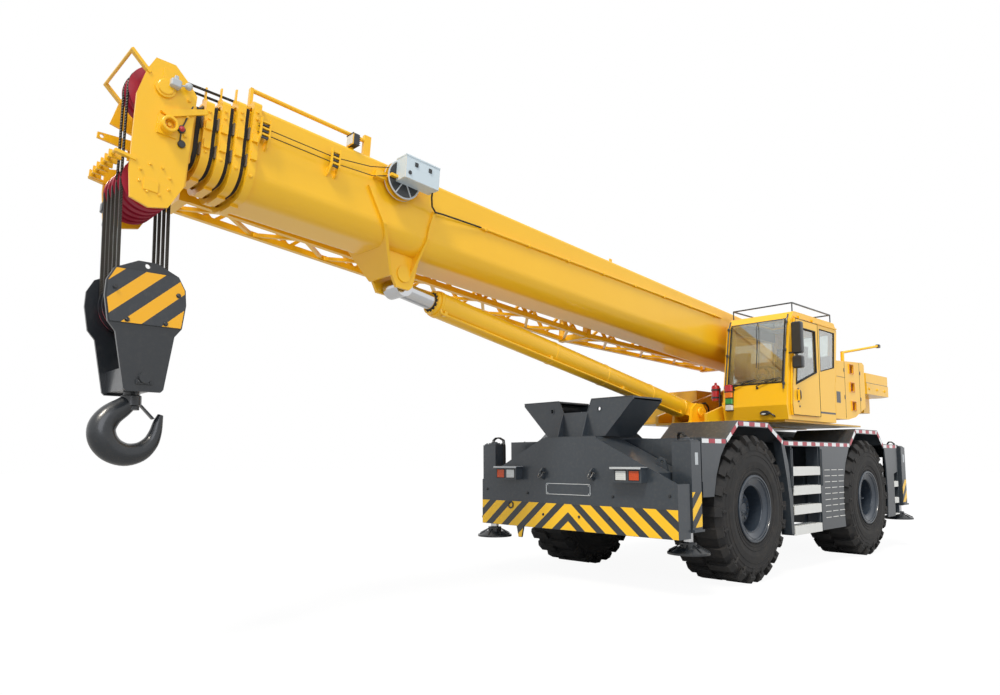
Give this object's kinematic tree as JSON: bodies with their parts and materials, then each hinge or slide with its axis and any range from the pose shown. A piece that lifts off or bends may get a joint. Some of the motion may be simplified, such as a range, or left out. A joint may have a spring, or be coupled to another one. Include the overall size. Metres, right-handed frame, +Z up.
{
  "type": "rough terrain mobile crane",
  "caption": "Rough terrain mobile crane with a telescopic boom, side cab, hook block, stowed lattice jib, steered wheels and box outriggers.",
  "frame": {"origin": "on the ground under the middle of the whole crane, as it stands with its boom over the front", "axes": "+X towards the boom head and the carrier's front, +Y to the crane's left, where the cab is, +Z up"},
  "size_m": [13.7564, 3.43, 4.7994],
  "materials": {
    "carrier_paint": "satin dark grey paint",
    "crane_paint": "glossy yellow paint",
    "block_paint": "black paint",
    "rim_paint": "dark grey-blue paint",
    "tyre_rubber": "matt black rubber",
    "sheave_red": "red paint",
    "rod_chrome": "polished hard chrome",
    "jack_chrome": "hard chrome with a steel float",
    "step_metal": "pale treads",
    "cab_glass": "tinted safety glass",
    "seat_fabric": "dark woven cloth",
    "console_plastic": "grained dark plastic",
    "fitting_black": "black paint",
    "rope_steel": "greased wire rope",
    "engine_iron": "painted castings"
  },
  "bodies": {
    "carrier": {"chassis": "carrier_paint", "front_box": "carrier_paint", "front_plate": "carrier_paint", "rear_box": "carrier_paint", "front_hood": "carrier_paint", "engine_hood": "carrier_paint", "engine": "engine_iron", "left_deck": "carrier_paint", "right_deck": "carrier_paint", "left_steps": "step_metal", "right_steps": "step_metal", "boom_rest": "carrier_paint", "front_axle": "carrier_paint", "rear_axle": "carrier_paint"},
    "steering_front_left": {"knuckle_front_left": "carrier_paint"},
    "wheel_front_left": {"tyre_front_left": "tyre_rubber", "rim_front_left": "rim_paint"},
    "steering_front_right": {"knuckle_front_right": "carrier_paint"},
    "wheel_front_right": {"tyre_front_right": "tyre_rubber", "rim_front_right": "rim_paint"},
    "steering_rear_left": {"knuckle_rear_left": "carrier_paint"},
    "wheel_rear_left": {"tyre_rear_left": "tyre_rubber", "rim_rear_left": "rim_paint"},
    "steering_rear_right": {"knuckle_rear_right": "carrier_paint"},
    "wheel_rear_right": {"tyre_rear_right": "tyre_rubber", "rim_rear_right": "rim_paint"},
    "outrigger_front_left": {"beam_front_left": "carrier_paint"},
    "foot_front_left": {"jack_front_left": "jack_chrome"},
    "outrigger_front_right": {"beam_front_right": "carrier_paint"},
    "foot_front_right": {"jack_front_right": "jack_chrome"},
    "outrigger_rear_left": {"beam_rear_left": "carrier_paint"},
    "foot_rear_left": {"jack_rear_left": "jack_chrome"},
    "outrigger_rear_right": {"beam_rear_right": "carrier_paint"},
    "foot_rear_right": {"jack_rear_right": "jack_chrome"},
    "superstructure": {"turntable": "crane_paint", "counterweight": "crane_paint", "winches": "rope_steel", "side_cover": "crane_paint", "cab": "crane_paint", "cab_glass": "cab_glass", "driver_seat": "seat_fabric", "console": "console_plastic", "cab_fittings": "fitting_black"},
    "door": {"door": "crane_paint", "door_glass": "cab_glass"},
    "boom": {"boom_base": "crane_paint", "luff_bracket": "crane_paint", "jib": "crane_paint"},
    "section_1": {"boom_section_1": "crane_paint"},
    "section_2": {"boom_section_2": "crane_paint"},
    "section_3": {"boom_section_3": "crane_paint"},
    "section_4": {"boom_section_4": "crane_paint", "boom_head": "crane_paint", "head_sheaves": "sheave_red"},
    "luff_barrel": {"luff_barrel": "crane_paint"},
    "luff_rod": {"luff_rod": "rod_chrome"},
    "falls": {"rope_falls": "rope_steel"},
    "hook_block": {"hook_block": "block_paint", "block_sheaves": "sheave_red"},
    "hook": {"hook": "block_paint"}
  },
  "joints": [
    {"name": "steer_front_left", "type": "hinge", "parent": "carrier", "child": "steering_front_left", "pos_m": [-0.505, 0.8, 0.935], "axis": [0, 0, 1], "range_deg": [-24, 24]},
    {"name": "spin_front_left", "type": "hinge", "parent": "steering_front_left", "child": "wheel_front_left", "pos_m": [-0.505, 1.24, 0.935], "axis": [0, 1, 0], "continuous": true},
    {"name": "steer_front_right", "type": "hinge", "parent": "carrier", "child": "steering_front_right", "pos_m": [-0.505, -0.8, 0.935], "axis": [0, 0, 1], "range_deg": [-24, 24]},
    {"name": "spin_front_right", "type": "hinge", "parent": "steering_front_right", "child": "wheel_front_right", "pos_m": [-0.505, -1.24, 0.935], "axis": [0, 1, 0], "continuous": true},
    {"name": "steer_rear_left", "type": "hinge", "parent": "carrier", "child": "steering_rear_left", "pos_m": [-4.435, 0.8, 0.935], "axis": [0, 0, 1], "range_deg": [-24, 24]},
    {"name": "spin_rear_left", "type": "hinge", "parent": "steering_rear_left", "child": "wheel_rear_left", "pos_m": [-4.435, 1.24, 0.935], "axis": [0, 1, 0], "continuous": true},
    {"name": "steer_rear_right", "type": "hinge", "parent": "carrier", "child": "steering_rear_right", "pos_m": [-4.435, -0.8, 0.935], "axis": [0, 0, 1], "range_deg": [-24, 24]},
    {"name": "spin_rear_right", "type": "hinge", "parent": "steering_rear_right", "child": "wheel_rear_right", "pos_m": [-4.435, -1.24, 0.935], "axis": [0, 1, 0], "continuous": true},
    {"name": "outrigger_front_left", "type": "slide", "parent": "carrier", "child": "outrigger_front_left", "axis": [0, 1, 0], "range_m": [0, 2.1]},
    {"name": "jack_front_left", "type": "slide", "parent": "outrigger_front_left", "child": "foot_front_left", "axis": [0, 0, -1], "range_m": [0, 0.62]},
    {"name": "outrigger_front_right", "type": "slide", "parent": "carrier", "child": "outrigger_front_right", "axis": [0, -1, 0], "range_m": [0, 2.1]},
    {"name": "jack_front_right", "type": "slide", "parent": "outrigger_front_right", "child": "foot_front_right", "axis": [0, 0, -1], "range_m": [0, 0.62]},
    {"name": "outrigger_rear_left", "type": "slide", "parent": "carrier", "child": "outrigger_rear_left", "axis": [0, 1, 0], "range_m": [0, 2.1]},
    {"name": "jack_rear_left", "type": "slide", "parent": "outrigger_rear_left", "child": "foot_rear_left", "axis": [0, 0, -1], "range_m": [0, 0.62]},
    {"name": "outrigger_rear_right", "type": "slide", "parent": "carrier", "child": "outrigger_rear_right", "axis": [0, -1, 0], "range_m": [0, 2.1]},
    {"name": "jack_rear_right", "type": "slide", "parent": "outrigger_rear_right", "child": "foot_rear_right", "axis": [0, 0, -1], "range_m": [0, 0.62]},
    {"name": "slew", "type": "hinge", "parent": "carrier", "child": "superstructure", "pos_m": [-2.47, 0, 2.09], "axis": [0, 0, 1], "continuous": true},
    {"name": "door_slide", "type": "slide", "parent": "superstructure", "child": "door", "axis": [-1, 0, 0], "range_m": [0, 0.75]},
    {"name": "luff", "type": "hinge", "parent": "superstructure", "child": "boom", "pos_m": [-4.72, 0, 3.32], "axis": [0, -1, 0], "range_deg": [-4.7, 75.3]},
    {"name": "extend_1", "type": "slide", "parent": "boom", "child": "section_1", "axis": [0.9966, 0, 0.0819], "range_m": [0, 7.9]},
    {"name": "extend_2", "type": "slide", "parent": "section_1", "child": "section_2", "axis": [0.9966, 0, 0.0819], "range_m": [0, 7.9]},
    {"name": "extend_3", "type": "slide", "parent": "section_2", "child": "section_3", "axis": [0.9966, 0, 0.0819], "range_m": [0, 7.9]},
    {"name": "extend_4", "type": "slide", "parent": "section_3", "child": "section_4", "axis": [0.9966, 0, 0.0819], "range_m": [0, 7.9]},
    {"name": "luff_barrel_swing", "type": "hinge", "parent": "superstructure", "child": "luff_barrel", "pos_m": [-1.68, 0, 2.29], "axis": [0, -1, 0], "range_deg": [-5.4, 85.2]},
    {"name": "luff_rod_slide", "type": "slide", "parent": "luff_barrel", "child": "luff_rod", "axis": [0.9829, 0, 0.1843], "range_m": [-0.24, 3.83]},
    {"name": "falls_hang", "type": "hinge", "parent": "section_4", "child": "falls", "pos_m": [6.52563, 0, 3.71277], "axis": [0, -1, 0], "range_deg": [-75.4, 4.8]},
    {"name": "hoist", "type": "slide", "parent": "falls", "child": "hook_block", "axis": [0, 0, -1], "range_m": [-0.3, 1.45], "deforming": ["rope_falls"]},
    {"name": "hook_swivel", "type": "hinge", "parent": "hook_block", "child": "hook", "pos_m": [6.52563, 0, 2.1], "axis": [0, 0, 1], "continuous": true}
  ],
  "couplings": [
    {"joint": "steer_front_right", "follows": "steer_front_left", "ratio": 1},
    {"joint": "steer_rear_right", "follows": "steer_rear_left", "ratio": 1},
    {"joint": "extend_2", "follows": "extend_1", "ratio": 1},
    {"joint": "extend_3", "follows": "extend_1", "ratio": 1},
    {"joint": "extend_4", "follows": "extend_1", "ratio": 1},
    {"joint": "luff_barrel_swing", "follows": "luff", "ratio": 1.1294},
    {"joint": "luff_rod_slide", "follows": "luff", "m_per_rad": 2.9132},
    {"joint": "falls_hang", "follows": "luff", "ratio": -1}
  ]
}
